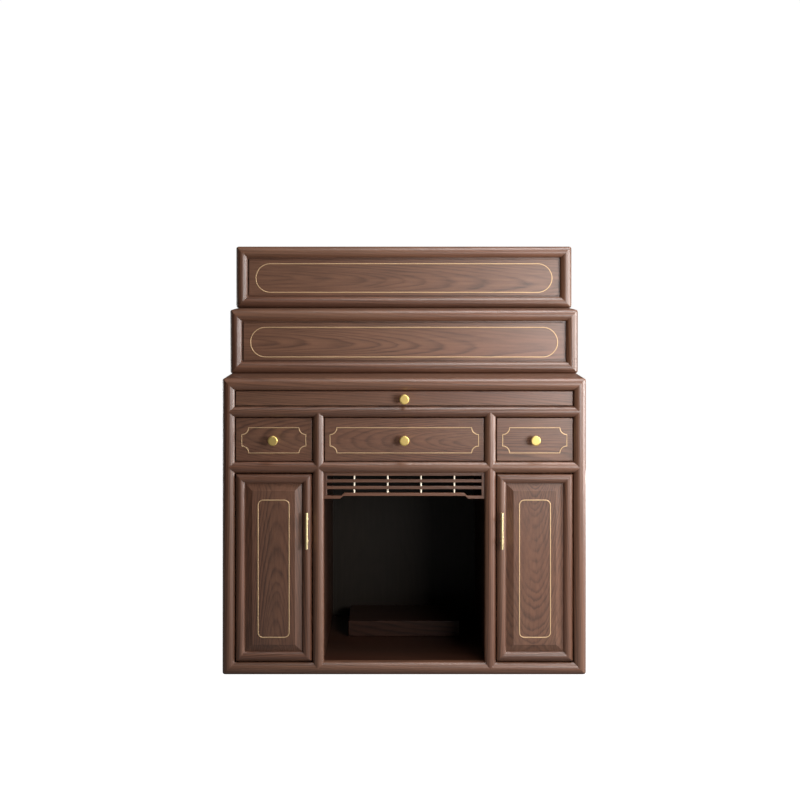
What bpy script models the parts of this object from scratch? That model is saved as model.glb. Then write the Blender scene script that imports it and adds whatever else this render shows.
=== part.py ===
"""An altar cabinet in three tiers: dark walnut, brass knobs and inlaid gold lines.

The cabinet stands on the floor with its front to -Y. Its half-round face frame holds a pull-out
board, three drawers, two cupboards with pivoted doors and an open niche. Two shallower boxes
stand on it, each set back from the one below.
"""

import math

import bmesh
import bpy
from mathutils import Matrix, Vector

# Driving sizes in metres. +X is to the right of someone who faces the front, +Z is up.
# The face plane is where the half-round mouldings spring from the flat wood.
WIDTH = 1.080
DEPTH = 0.594  # from the face plane to the back
NICHE_WIDTH = 0.4777
STILE_WIDTH = 0.0365  # outer uprights of the face frame
INNER_STILE_WIDTH = 0.0335
BOTTOM_RAIL = 0.036
DOOR_OPENING = 0.563
DRAWER_RAIL = 0.0325
DRAWER_OPENING = 0.133
SLIDE_RAIL = 0.0315
SLIDE_OPENING = 0.048
TOP_RAIL = 0.036
FRAME_THICKNESS = 0.020  # of the face frames, behind the face plane
MOULDING_REACH = 0.011  # of the half-rounds, in front of the face plane
MOULDING_ARC = 125  # degrees of a circle in the section of a half-round

SIDE_THICKNESS = 0.018
DIVIDER_THICKNESS = 0.018
BOARD_THICKNESS = 0.018
COUNTER_THICKNESS = 0.020
BACK_THICKNESS = 0.012

PLAY = 0.0025  # round a drawer front or the pull-out board's front, and beside a door
FRONT_THICKNESS = 0.018
FRONT_EASING = 0.0015  # bevel on the edges of the fronts
SLIDE_BOARD_THICKNESS = 0.018
SLIDE_BOARD_LENGTH = 0.460
DRAWER_LENGTH = 0.500
DRAWER_BOX_HEIGHT = 0.100
DRAWER_WALL = 0.010
DRAWER_BOTTOM = 0.008
RUNNING_CLEARANCE = 0.0010  # under and beside what slides

DOOR_PLAY = 0.0035  # above and below a door
DOOR_MOULDING = 0.028
DOOR_MOULDING_REACH = 0.009
DOOR_THICKNESS = 0.020
FIELD_BEVEL = 0.0195
FIELD_RISE = 0.0085
DOOR_PANEL_SET_BACK = 0.002  # of the panel's thin edge, behind the face plane
PANEL_TONGUE = 0.006  # the part of a panel that sits in the groove of its frame
PANEL_EDGE = 0.006  # thickness of that tongue
PIVOT_RADIUS = 0.003
PIVOT_DEPTH = 0.008  # how far a door's pivot goes into its rail
HANDLE_LENGTH = 0.108
HANDLE_RADIUS = 0.0043
HANDLE_REACH = 0.033
HANDLE_POSTS = 0.064  # between the posts
HANDLE_POST_RADIUS = 0.0034
HANDLE_RISE = 0.113  # middle of the handle above the middle of the door

KNOB_RADIUS = 0.01475
KNOB_REACH = 0.040
KNOB_RIM = 0.0035
KNOB_DISH = 0.0012
KNOB_HEAD = 0.010
KNOB_NECK_RADIUS = 0.0055
KNOB_FOOT_RADIUS = 0.0095
KNOB_FOOT = 0.003

LATTICE_BAR = 0.009
LATTICE_GAP = 0.011
LATTICE_BARS = 4
LATTICE_POST = 0.0085
LATTICE_THICKNESS = 0.012
LATTICE_SET_BACK = 0.003
LATTICE_FOOT = 0.049  # length of the low end of the bottom bar
LATTICE_DROP = 0.0085
BRASS_POST_RADIUS = 0.00285
BRASS_POST_PITCH = 0.0993
BRASS_POSTS = 4

PLINTH_WIDTH = 0.353
PLINTH_HEIGHT = 0.049
PLINTH_DEPTH = 0.218
PLINTH_SET_BACK = 0.306

TIER_HEIGHT = 0.198
LOWER_TIER_SET_BACK = 0.200
UPPER_TIER_SET_BACK = 0.370
TIER_MOULDING = 0.0355
TIER_WALL = 0.018
TIER_PANEL = 0.010
TIER_PANEL_SET_BACK = 0.003

LINE_WIDTH = 0.0028
LINE_DEPTH = 0.0012
LINE_DROP = 0.0025  # of every inlaid line's middle, below the middle of its front
SIDE_DRAWER_MARGIN = 0.0163  # from the end of a front to its line
CENTRE_DRAWER_MARGIN = 0.014
DRAWER_LINE_MARGIN = 0.025  # from the top of a front to its line
DRAWER_NOTCH = 0.022
DOOR_LINE_SIDE = 0.0182
DOOR_LINE_END = 0.0254
DOOR_LINE_CORNER = 0.016
TIER_LINE_END = 0.0255
TIER_LINE_SIDE = 0.0158

FIT = 0.0003  # between pieces that touch
OVERSHOOT = 0.010  # of a cutter past what it cuts
ARC_STEPS = 8  # sides of a half-round
TURN_STEPS = 20  # sides of a turned knob
END_STEPS = 12  # sides of a half-circle in an inlaid line
CORNER_STEPS = 4  # sides of a quarter-circle in an inlaid line

# Places that follow from the sizes. The origin is under the middle of the bounding box.
HALF = WIDTH / 2
FACE = (max(KNOB_REACH, HANDLE_REACH) - DEPTH) / 2
BACK = FACE + DEPTH
FRAME_BACK = FACE + FRAME_THICKNESS
NICHE_SIDE = NICHE_WIDTH / 2
INNER_STILE = NICHE_SIDE + INNER_STILE_WIDTH / 2
CUPBOARD_SIDE = NICHE_SIDE + INNER_STILE_WIDTH
OUTER_EDGE = HALF - STILE_WIDTH
SIDE_OPENING = OUTER_EDGE - CUPBOARD_SIDE
SIDE_MIDDLE = (OUTER_EDGE + CUPBOARD_SIDE) / 2
NICHE_FLOOR = BOTTOM_RAIL
DOOR_TOP = NICHE_FLOOR + DOOR_OPENING
DRAWER_FLOOR = DOOR_TOP + DRAWER_RAIL
DRAWER_TOP = DRAWER_FLOOR + DRAWER_OPENING
SLIDE_FLOOR = DRAWER_TOP + SLIDE_RAIL
SLIDE_TOP = SLIDE_FLOOR + SLIDE_OPENING
COUNTER = SLIDE_TOP + TOP_RAIL

FRONT_VIEW = Matrix.Rotation(math.pi / 2, 4, "X")  # an outline drawn as (x, z)
LYING = Matrix.Rotation(-math.pi / 2, 4, "Y")  # a section carried along X
STANDING = Matrix.Identity(4)  # a section carried along Z


def new_collection(name):
    collection = bpy.data.collections.new(name)
    bpy.context.scene.collection.children.link(collection)
    return collection


def new_material(name, colour, roughness, metallic):
    material = bpy.data.materials.new(name)
    material.use_nodes = True
    shader = material.node_tree.nodes["Principled BSDF"]
    shader.inputs["Base Color"].default_value = (*colour, 1)
    shader.inputs["Roughness"].default_value = roughness
    shader.inputs["Metallic"].default_value = metallic
    return material


for old in list(bpy.data.objects):
    bpy.data.objects.remove(old)

PARTS = new_collection("altar_table")
CUTTERS = new_collection("altar_table_cutters")
WALNUT = new_material("walnut", (0.098, 0.042, 0.026), 0.38, 0)
INSIDE_WOOD = new_material("inside_wood", (0.16, 0.085, 0.048), 0.6, 0)
BRASS = new_material("brass", (0.80, 0.58, 0.24), 0.25, 1)
GOLD_LINE = new_material("gold_line", (0.52, 0.32, 0.12), 0.4, 0.6)


def joint(name, x, y, z):
    """An empty on a moving body's joint, which carries the body's pieces."""
    empty = bpy.data.objects.new(name, None)
    empty.location = (x, y, z)
    empty.empty_display_size = 0.05
    PARTS.objects.link(empty)
    return empty


def place(piece, location, material=None, carrier=None):
    """Puts a new piece at a place in the room, under the empty that carries it."""
    piece.location = Vector(location)
    if carrier:
        piece.parent = carrier
        piece.location -= carrier.location
    if material:
        piece.data.materials.append(material)
        PARTS.objects.link(piece)
        return piece
    piece.hide_render = True
    piece.display_type = "WIRE"
    CUTTERS.objects.link(piece)
    return piece


def combine(piece, other, operation="DIFFERENCE"):
    modifier = piece.modifiers.new(other.name, "BOOLEAN")
    modifier.operation = operation
    modifier.object = other


def finished(bm, name):
    """The bmesh as an object with its faces outwards."""
    bmesh.ops.recalc_face_normals(bm, faces=bm.faces)
    mesh = bpy.data.meshes.new(name)
    bm.to_mesh(mesh)
    bm.free()
    return bpy.data.objects.new(name, mesh)


def block(name, size):
    bm = bmesh.new()
    bmesh.ops.create_cube(bm, size=1)
    bmesh.ops.scale(bm, vec=size, verts=bm.verts)
    return finished(bm, name)


def board(name, low, high, material, carrier=None, easing=0.0):
    """A flat board between two corners."""
    low = Vector(low)
    high = Vector(high)
    piece = place(block(name, high - low), (low + high) / 2, material, carrier)
    if easing:
        bevel = piece.modifiers.new("eased edges", "BEVEL")
        bevel.width = easing
        bevel.segments = 1
    return piece


def block_cutter(name, low, high, carrier=None):
    low = Vector(low)
    high = Vector(high)
    return place(block(name, high - low), (low + high) / 2, carrier=carrier)


def rod(name, radius, length, sides=12):
    """A round rod along Z, centred on its origin."""
    bm = bmesh.new()
    bmesh.ops.create_cone(
        bm, cap_ends=True, segments=sides, radius1=radius, radius2=radius, depth=length
    )
    piece = finished(bm, name)
    piece.data.shade_smooth()
    piece.data.set_sharp_from_angle(angle=math.radians(50))
    return piece


def turned(name, profile, sides):
    """A shape turned about Z from a profile of (radius, height) that runs from top to bottom."""
    mesh = bpy.data.meshes.new(name)
    points = [(radius, 0, height) for radius, height in profile]
    mesh.from_pydata(points, [(i, i + 1) for i in range(len(points) - 1)], [])
    piece = bpy.data.objects.new(name, mesh)
    screw = piece.modifiers.new("turned", "SCREW")
    screw.steps = sides
    screw.render_steps = sides
    screw.use_merge_vertices = True
    screw.merge_threshold = 0.00001
    return piece


def prism(name, loops, length, turn):
    """Closed outlines, filled and pulled out to a length about the origin. A loop in a loop is a hole."""
    curve = bpy.data.curves.new(name, "CURVE")
    curve.dimensions = "2D"
    curve.fill_mode = "BOTH"
    curve.extrude = length / 2
    for loop in loops:
        spline = curve.splines.new("POLY")
        spline.points.add(len(loop) - 1)
        spline.use_cyclic_u = True
        for point, (across, up) in zip(spline.points, loop):
            point.co = (across, up, 0, 1)
    drawn = bpy.data.objects.new(name, curve)
    PARTS.objects.link(drawn)
    graph = bpy.context.evaluated_depsgraph_get()
    mesh = bpy.data.meshes.new_from_object(drawn.evaluated_get(graph))
    bpy.data.objects.remove(drawn)
    bpy.data.curves.remove(curve)
    bm = bmesh.new()
    bm.from_mesh(mesh)
    bpy.data.meshes.remove(mesh)
    bmesh.ops.remove_doubles(bm, verts=bm.verts, dist=0.000001)
    bmesh.ops.transform(bm, matrix=turn, verts=bm.verts)
    return finished(bm, name)


def slab(name, loops, centre, front, back, material=None, carrier=None):
    """Outlines drawn in the front view about a centre (x, z), from one depth to another."""
    piece = prism(name, loops, back - front, FRONT_VIEW)
    return place(piece, (centre[0], (front + back) / 2, centre[1]), material, carrier)


def half_round(width, reach):
    """The curved front of a moulding as (across, y), from its left edge to its right edge."""
    steepest = math.radians(MOULDING_ARC / 2)
    flat = math.cos(steepest)
    points = []
    for step in range(ARC_STEPS + 1):
        angle = steepest * (2 * step / ARC_STEPS - 1)
        across = width / 2 * math.sin(angle) / math.sin(steepest)
        points.append((across, -reach * (math.cos(angle) - flat) / (1 - flat)))
    return points


def moulded_bar(name, width, length, centre, turn):
    """A bar of the face frame, with its half-round in front of the face plane."""
    section = half_round(width, MOULDING_REACH)
    section += [(width / 2, FRAME_THICKNESS), (-width / 2, FRAME_THICKNESS)]
    return place(prism(name, [section], length, turn), (centre[0], FACE, centre[1]), WALNUT)


def mitre(piece, corner, away):
    """Trims a piece at a slanting plane through a corner (x, z). away points off the piece."""
    normal = Vector((away[0], 0, away[1])).normalized()
    through = Vector((corner[0], 0, corner[1])) - piece.location - normal * FIT / 2
    bm = bmesh.new()
    bm.from_mesh(piece.data)
    geometry = bm.verts[:] + bm.edges[:] + bm.faces[:]
    found = bmesh.ops.bisect_plane(
        bm, geom=geometry, plane_co=through, plane_no=normal, clear_outer=True
    )
    rim = [part for part in found["geom_cut"] if isinstance(part, bmesh.types.BMEdge)]
    bmesh.ops.holes_fill(bm, edges=rim)
    bmesh.ops.recalc_face_normals(bm, faces=bm.faces)
    bm.to_mesh(piece.data)
    bm.free()


def beaked_joint(bar, bar_width, crossed, crossed_width, shoulder, towards):
    """Points the half-round of a bar's end, as far as the middle of the moulding that it meets.

    The bar stops square at its shoulder (x, z) behind the face plane. In front of it the two
    half-rounds meet on mitres, and the crossed one is notched to take the point.
    """
    half = bar_width / 2
    point = crossed_width / 2
    past = point + OVERSHOOT
    wide = half + OVERSHOOT
    slant = math.atan2(half, point)
    notch_point = point + FIT / math.sin(slant)
    notch_start = half + FIT / math.cos(slant) + OVERSHOOT * half / point

    def turned_loop(points):
        along, up = towards
        return [(s * along - t * up, s * up + t * along) for s, t in points]

    mouth = turned_loop(
        [(0, -half), (0, -wide), (past, -wide), (past, wide), (0, wide), (0, half), (point, 0)]
    )
    square = turned_loop([(0, -wide), (past, -wide), (past, wide), (0, wide)])
    notch = turned_loop([(-OVERSHOOT, -notch_start), (notch_point, 0), (-OVERSHOOT, notch_start)])
    name = f"{bar.name}_in_{crossed.name}"
    front = FACE - MOULDING_REACH - OVERSHOOT
    behind = FRAME_BACK + OVERSHOOT
    seam = FACE + FIT
    combine(bar, slab(f"{name}_mouth", [mouth], shoulder, front, behind))
    combine(bar, slab(f"{name}_shoulder", [square], shoulder, seam, behind))
    combine(crossed, slab(f"{name}_notch", [notch], shoulder, front, seam + FIT))


def mitred_ring(name, width, height, section):
    """A section of (inset from the outer edge, y) carried round a rectangle with four mitres."""
    bm = bmesh.new()
    rings = []
    for inset, y in section:
        x = width / 2 - inset
        z = height / 2 - inset
        corners = ((-x, -z), (x, -z), (x, z), (-x, z))
        rings.append([bm.verts.new((cx, y, cz)) for cx, cz in corners])
    for index, ring in enumerate(rings):
        following = rings[(index + 1) % len(rings)]
        for side in range(4):
            ahead = (side + 1) % 4
            bm.faces.new((ring[side], ring[ahead], following[ahead], following[side]))
    return finished(bm, name)


def grooved_section(width, reach, thickness, groove_front, groove_back):
    """A half-round moulding with a groove in its inner edge for a panel, as (inset, y)."""
    section = [(across + width / 2, y) for across, y in half_round(width, reach)]
    section += [(width, groove_front), (width - PANEL_TONGUE, groove_front)]
    section += [(width - PANEL_TONGUE, groove_back), (width, groove_back)]
    return section + [(width, thickness), (0, thickness)]


def arc(centre, radius, start, turn, steps):
    """Points on a circle, with the angles in degrees."""
    points = []
    for step in range(steps + 1):
        angle = math.radians(start + turn * step / steps)
        points.append((centre[0] + radius * math.cos(angle), centre[1] + radius * math.sin(angle)))
    return points


def stadium(width, height, inset):
    radius = height / 2
    straight = width / 2 - radius
    right = arc((straight, 0), radius - inset, -90, 180, END_STEPS)
    return right + arc((-straight, 0), radius - inset, 90, 180, END_STEPS)


def rounded_rectangle(width, height, inset):
    x = width / 2 - DOOR_LINE_CORNER
    z = height / 2 - DOOR_LINE_CORNER
    points = []
    for turn, (sx, sz) in enumerate(((1, 1), (-1, 1), (-1, -1), (1, -1))):
        centre = (sx * x, sz * z)
        points += arc(centre, DOOR_LINE_CORNER - inset, 90 * turn, 90, CORNER_STEPS)
    return points


def notched_rectangle(width, height, inset):
    """A rectangle whose corners are scooped out by quarter-circles about its own corners."""
    x = width / 2
    z = height / 2
    lean = math.degrees(math.asin(inset / (DRAWER_NOTCH + inset)))
    points = []
    for turn, (sx, sz) in enumerate(((1, 1), (-1, 1), (-1, -1), (1, -1))):
        start = 270 + 90 * turn - lean
        points += arc((sx * x, sz * z), DRAWER_NOTCH + inset, start, 2 * lean - 90, CORNER_STEPS)
    return points


def inlaid_line(panel, name, shape, size, centre, face, carrier=None):
    """Cuts a line's groove in a panel and lays the line in it, flush with the face."""
    centre = (centre[0], centre[1] - LINE_DROP)
    line = [shape(*size, 0), shape(*size, LINE_WIDTH)]
    groove = [shape(*size, -FIT), shape(*size, LINE_WIDTH + FIT)]
    bottom = face + LINE_DEPTH
    combine(panel, slab(f"{name}_groove", groove, centre, face - OVERSHOOT, bottom + FIT, None, carrier))
    slab(name, line, centre, face, bottom, GOLD_LINE, carrier)


def knob(name, centre, carrier):
    """A turned brass knob: a foot, a waisted neck and a round head with a raised rim."""
    head_back = KNOB_REACH - KNOB_HEAD
    profile = [
        (0, KNOB_REACH - KNOB_DISH),
        (KNOB_RADIUS - KNOB_RIM, KNOB_REACH - KNOB_DISH),
        (KNOB_RADIUS - KNOB_RIM * 0.7, KNOB_REACH),
        (KNOB_RADIUS - KNOB_RIM * 0.3, KNOB_REACH),
        (KNOB_RADIUS, KNOB_REACH - KNOB_RIM * 0.5),
        (KNOB_RADIUS, head_back + KNOB_RIM * 0.5),
        (KNOB_RADIUS - KNOB_RIM * 0.5, head_back),
        (KNOB_NECK_RADIUS, head_back - KNOB_FOOT),
        (KNOB_NECK_RADIUS, KNOB_FOOT * 2),
        (KNOB_FOOT_RADIUS, KNOB_FOOT),
        (KNOB_FOOT_RADIUS, FIT),
        (0, FIT),
    ]
    piece = turned(name, profile, TURN_STEPS)
    place(piece, (centre[0], FACE, centre[1]), BRASS, carrier)
    piece.rotation_euler = (math.pi / 2, 0, 0)


def make_carcass():
    """The fixed boards behind the face frame."""
    front = FRAME_BACK + FIT
    back = BACK - BACK_THICKNESS - FIT
    under_counter = COUNTER - COUNTER_THICKNESS
    inside = HALF - SIDE_THICKNESS
    between = inside - FIT
    board("counter_top", (-HALF, front, under_counter), (HALF, BACK, COUNTER), WALNUT)
    board(
        "back_panel",
        (-between, BACK - BACK_THICKNESS, 0),
        (between, BACK, under_counter - FIT),
        INSIDE_WOOD,
    )
    for name, top in (
        ("base_board", NICHE_FLOOR),
        ("middle_board", DRAWER_FLOOR),
        ("slide_support_board", SLIDE_FLOOR),
    ):
        low = (-between, front, top - BOARD_THICKNESS)
        board(name, low, (between, back, top), WALNUT)
    for side, sign in (("left", -1), ("right", 1)):
        outer = sorted((sign * inside, sign * HALF))
        board(
            f"{side}_side_panel",
            (outer[0], front, 0),
            (outer[1], BACK, under_counter - FIT),
            WALNUT,
        )
        wall = sorted((sign * NICHE_SIDE, sign * (NICHE_SIDE + DIVIDER_THICKNESS)))
        board(
            f"{side}_niche_wall",
            (wall[0], front, NICHE_FLOOR + FIT),
            (wall[1], back, DRAWER_FLOOR - BOARD_THICKNESS - FIT),
            WALNUT,
        )
        middle = sign * INNER_STILE
        board(
            f"{side}_drawer_divider",
            (middle - DIVIDER_THICKNESS / 2, front, DRAWER_FLOOR + FIT),
            (middle + DIVIDER_THICKNESS / 2, back, SLIDE_FLOOR - BOARD_THICKNESS - FIT),
            INSIDE_WOOD,
        )


def make_face_frame():
    """Stiles and rails with half-round fronts, mitred where they meet."""
    between = 2 * OUTER_EDGE + STILE_WIDTH
    top_rail = moulded_bar("top_rail", TOP_RAIL, WIDTH, (0, COUNTER - TOP_RAIL / 2), LYING)
    bottom_rail = moulded_bar("bottom_rail", BOTTOM_RAIL, WIDTH, (0, BOTTOM_RAIL / 2), LYING)
    slide_rail = moulded_bar(
        "slide_rail", SLIDE_RAIL, between, (0, SLIDE_FLOOR - SLIDE_RAIL / 2), LYING
    )
    drawer_rail = moulded_bar(
        "drawer_rail", DRAWER_RAIL, between, (0, DRAWER_FLOOR - DRAWER_RAIL / 2), LYING
    )
    for side, sign in (("left", -1), ("right", 1)):
        x = sign * (HALF - STILE_WIDTH / 2)
        stile = moulded_bar(f"{side}_stile", STILE_WIDTH, COUNTER, (x, COUNTER / 2), STANDING)
        for rail, width, end, up in (
            (top_rail, TOP_RAIL, COUNTER, 1),
            (bottom_rail, BOTTOM_RAIL, 0, -1),
        ):
            away = (-sign * width, up * STILE_WIDTH)
            mitre(stile, (sign * HALF, end), away)
            mitre(rail, (sign * HALF, end), (-away[0], -away[1]))
        for rail, width, top in (
            (slide_rail, SLIDE_RAIL, SLIDE_FLOOR),
            (drawer_rail, DRAWER_RAIL, DRAWER_FLOOR),
        ):
            shoulder = (sign * (OUTER_EDGE - FIT), top - width / 2)
            beaked_joint(rail, width, stile, STILE_WIDTH, shoulder, (sign, 0))

        x = sign * INNER_STILE
        for name, low, low_rail, low_width, high, high_rail, high_width in (
            ("niche_stile", NICHE_FLOOR, bottom_rail, BOTTOM_RAIL, DOOR_TOP, drawer_rail, DRAWER_RAIL),
            ("drawer_stile", DRAWER_FLOOR, drawer_rail, DRAWER_RAIL, DRAWER_TOP, slide_rail, SLIDE_RAIL),
        ):
            length = high - low + (high_width + low_width) / 2
            middle = (low + high) / 2 + (high_width - low_width) / 4
            bar = moulded_bar(f"{side}_{name}", INNER_STILE_WIDTH, length, (x, middle), STANDING)
            beaked_joint(bar, INNER_STILE_WIDTH, high_rail, high_width, (x, high - FIT), (0, 1))
            beaked_joint(bar, INNER_STILE_WIDTH, low_rail, low_width, (x, low + FIT), (0, -1))


def make_lattice():
    """The fretwork under the drawer rail: level bars, a stepped bottom bar and brass posts."""
    half = NICHE_SIDE - FIT
    top = DOOR_TOP - FIT
    step = LATTICE_BAR + LATTICE_GAP
    under = -(LATTICE_BARS - 1) * step - LATTICE_BAR
    foot = half - LATTICE_FOOT
    rise = foot - LATTICE_DROP
    mitred = LATTICE_BAR * math.tan(math.radians(22.5))  # keeps the bar's width on the slope
    outline = [(-half, 0), (-half, under - LATTICE_DROP), (-foot, under - LATTICE_DROP)]
    outline += [(-rise, under), (rise, under), (foot, under - LATTICE_DROP)]
    outline += [(half, under - LATTICE_DROP), (half, 0)]
    inside = half - LATTICE_POST
    holes = []
    for row in range(LATTICE_BARS - 2):
        high = -row * step - LATTICE_BAR
        low = high - LATTICE_GAP
        holes.append([(-inside, high), (-inside, low), (inside, low), (inside, high)])
    high = -(LATTICE_BARS - 2) * step - LATTICE_BAR
    low = high - LATTICE_GAP
    foot += mitred
    rise += mitred
    last = [(-inside, high), (-inside, low - LATTICE_DROP), (-foot, low - LATTICE_DROP)]
    last += [(-rise, low), (rise, low), (foot, low - LATTICE_DROP)]
    holes.append(last + [(inside, low - LATTICE_DROP), (inside, high)])
    front = FACE + LATTICE_SET_BACK
    back = front + LATTICE_THICKNESS
    lattice = slab("niche_lattice", [outline, *holes], (0, top), front, back, WALNUT)

    reach = (LATTICE_BARS - 1) * step - LATTICE_BAR
    middle = top - LATTICE_BAR - reach / 2
    for index in range(BRASS_POSTS):
        x = (index - (BRASS_POSTS - 1) / 2) * BRASS_POST_PITCH
        place(
            rod(f"lattice_post_{index + 1}", BRASS_POST_RADIUS, reach - 2 * FIT),
            (x, (front + back) / 2, middle),
            BRASS,
        )
        bore = rod(f"lattice_bore_{index + 1}", BRASS_POST_RADIUS + FIT, reach - LATTICE_GAP)
        combine(lattice, place(bore, (x, (front + back) / 2, middle)))


def make_plinth():
    """The low plinth on the niche floor."""
    front = FACE + PLINTH_SET_BACK
    board(
        "niche_plinth",
        (-PLINTH_WIDTH / 2, front, NICHE_FLOOR + FIT),
        (PLINTH_WIDTH / 2, front + PLINTH_DEPTH, NICHE_FLOOR + PLINTH_HEIGHT),
        WALNUT,
        easing=FRONT_EASING,
    )


def make_slide_board():
    """The board that pulls out over the drawers, with its narrow front and one knob."""
    half = OUTER_EDGE - PLAY
    middle = (SLIDE_FLOOR + SLIDE_TOP) / 2
    behind = FACE + FRONT_THICKNESS
    carrier = joint("slide_board", 0, behind, middle)
    board(
        "slide_board_front",
        (-half, FACE, SLIDE_FLOOR + PLAY),
        (half, behind, SLIDE_TOP - PLAY),
        WALNUT,
        carrier,
        FRONT_EASING,
    )
    side = half - RUNNING_CLEARANCE
    low = SLIDE_FLOOR + RUNNING_CLEARANCE
    board(
        "slide_board_shelf",
        (-side, behind + FIT, low),
        (side, behind + FIT + SLIDE_BOARD_LENGTH, low + SLIDE_BOARD_THICKNESS),
        WALNUT,
        carrier,
    )
    knob("slide_board_knob", (0, middle), carrier)


def make_drawer(side, x, opening, margin):
    """A drawer: an inlaid front, an open box behind it and a knob."""
    half = opening / 2 - PLAY
    middle = (DRAWER_FLOOR + DRAWER_TOP) / 2
    behind = FACE + FRONT_THICKNESS
    carrier = joint(f"{side}_drawer", x, behind, middle)
    front = board(
        f"{side}_drawer_front",
        (x - half, FACE, DRAWER_FLOOR + PLAY),
        (x + half, behind, DRAWER_TOP - PLAY),
        WALNUT,
        carrier,
        FRONT_EASING,
    )
    size = (2 * (half - margin), DRAWER_OPENING - 2 * (PLAY + DRAWER_LINE_MARGIN))
    inlaid_line(front, f"{side}_drawer_line", notched_rectangle, size, (x, middle), FACE, carrier)
    side_wall = half - RUNNING_CLEARANCE
    low = Vector((x - side_wall, behind + FIT, DRAWER_FLOOR + RUNNING_CLEARANCE))
    high = Vector((x + side_wall, behind + FIT + DRAWER_LENGTH, low.z + DRAWER_BOX_HEIGHT))
    box = board(f"{side}_drawer_box", low, high, INSIDE_WOOD, carrier)
    wall = Vector((DRAWER_WALL, DRAWER_WALL, 0))
    hollow = block_cutter(
        f"{side}_drawer_hollow",
        low + wall + Vector((0, 0, DRAWER_BOTTOM)),
        high - wall + Vector((0, 0, OVERSHOOT)),
        carrier,
    )
    combine(box, hollow)
    knob(f"{side}_drawer_knob", (x, middle), carrier)


def door_handle(name, x, z, carrier):
    """A brass bar on two posts, which stands on the crest of the door's moulding."""
    bar_radius = HANDLE_RADIUS
    end = HANDLE_LENGTH / 2
    chamfer = bar_radius * 0.35
    profile = [(0, end), (bar_radius - chamfer, end), (bar_radius, end - chamfer)]
    profile += [(radius, -height) for radius, height in reversed(profile)]
    bar = turned(name, profile, 12)
    y = FACE - HANDLE_REACH + bar_radius
    place(bar, (x, y, z), BRASS, carrier)
    foot = FACE - DOOR_MOULDING_REACH - FIT
    for up in (-1, 1):
        post = rod(f"{name}_post_{up}", HANDLE_POST_RADIUS, foot - y)
        place(post, (x, (foot + y) / 2, z + up * HANDLE_POSTS / 2), carrier=carrier)
        post.rotation_euler = (math.pi / 2, 0, 0)
        combine(bar, post, "UNION")


def make_door(side, sign):
    """A framed door with a raised panel, which turns on wooden pivots at its outer edge."""
    width = SIDE_OPENING - 2 * PLAY
    height = DOOR_OPENING - 2 * DOOR_PLAY
    centre = (sign * SIDE_MIDDLE, NICHE_FLOOR + DOOR_OPENING / 2)
    axis = sign * (OUTER_EDGE - PLAY - DOOR_MOULDING / 2)
    carrier = joint(f"{side}_door", axis, FACE, centre[1])

    groove = DOOR_PANEL_SET_BACK
    section = grooved_section(
        DOOR_MOULDING, DOOR_MOULDING_REACH, DOOR_THICKNESS, groove - FIT, groove + PANEL_EDGE + FIT
    )
    frame = mitred_ring(f"{side}_door_frame", width, height, section)
    place(frame, (centre[0], FACE, centre[1]), WALNUT, carrier)
    for up, rail in ((1, "drawer_rail"), (-1, "bottom_rail")):
        reach = DOOR_PLAY + PIVOT_DEPTH
        length = reach + DOOR_MOULDING / 2
        z = centre[1] + up * (height / 2 + reach - length / 2)
        pivot = rod(f"{side}_door_pivot_{rail}", PIVOT_RADIUS, length)
        place(pivot, (axis, FACE, z), carrier=carrier)
        combine(frame, pivot, "UNION")
        socket = rod(f"{side}_door_socket_{rail}", PIVOT_RADIUS + FIT, length)
        place(socket, (axis, FACE, z + up * FIT))
        combine(bpy.data.objects[rail], socket)

    sunk = DOOR_MOULDING - PANEL_TONGUE + FIT
    bm = bmesh.new()
    bmesh.ops.create_cube(bm, size=1)
    size = (width - 2 * sunk, PANEL_EDGE, height - 2 * sunk)
    bmesh.ops.scale(bm, vec=size, verts=bm.verts)
    face = min(bm.faces, key=lambda one: one.calc_center_median().y)
    rebate = PANEL_TONGUE - FIT
    for inset in (rebate, FIELD_BEVEL):
        bmesh.ops.inset_region(bm, faces=[face], thickness=inset, use_even_offset=True)
    bmesh.ops.translate(bm, vec=(0, -FIELD_RISE, 0), verts=face.verts)
    panel = finished(bm, f"{side}_door_panel")
    y = FACE + DOOR_PANEL_SET_BACK + PANEL_EDGE / 2
    place(panel, (centre[0], y, centre[1]), WALNUT, carrier)
    edge = 2 * (DOOR_MOULDING + FIELD_BEVEL)
    line = (width - edge - 2 * DOOR_LINE_SIDE, height - edge - 2 * DOOR_LINE_END)
    field = FACE + DOOR_PANEL_SET_BACK - FIELD_RISE
    inlaid_line(panel, f"{side}_door_line", rounded_rectangle, line, centre, field, carrier)
    handle_x = sign * (CUPBOARD_SIDE + PLAY + DOOR_MOULDING / 2)
    door_handle(f"{side}_door_handle", handle_x, centre[1] + HANDLE_RISE, carrier)


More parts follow.
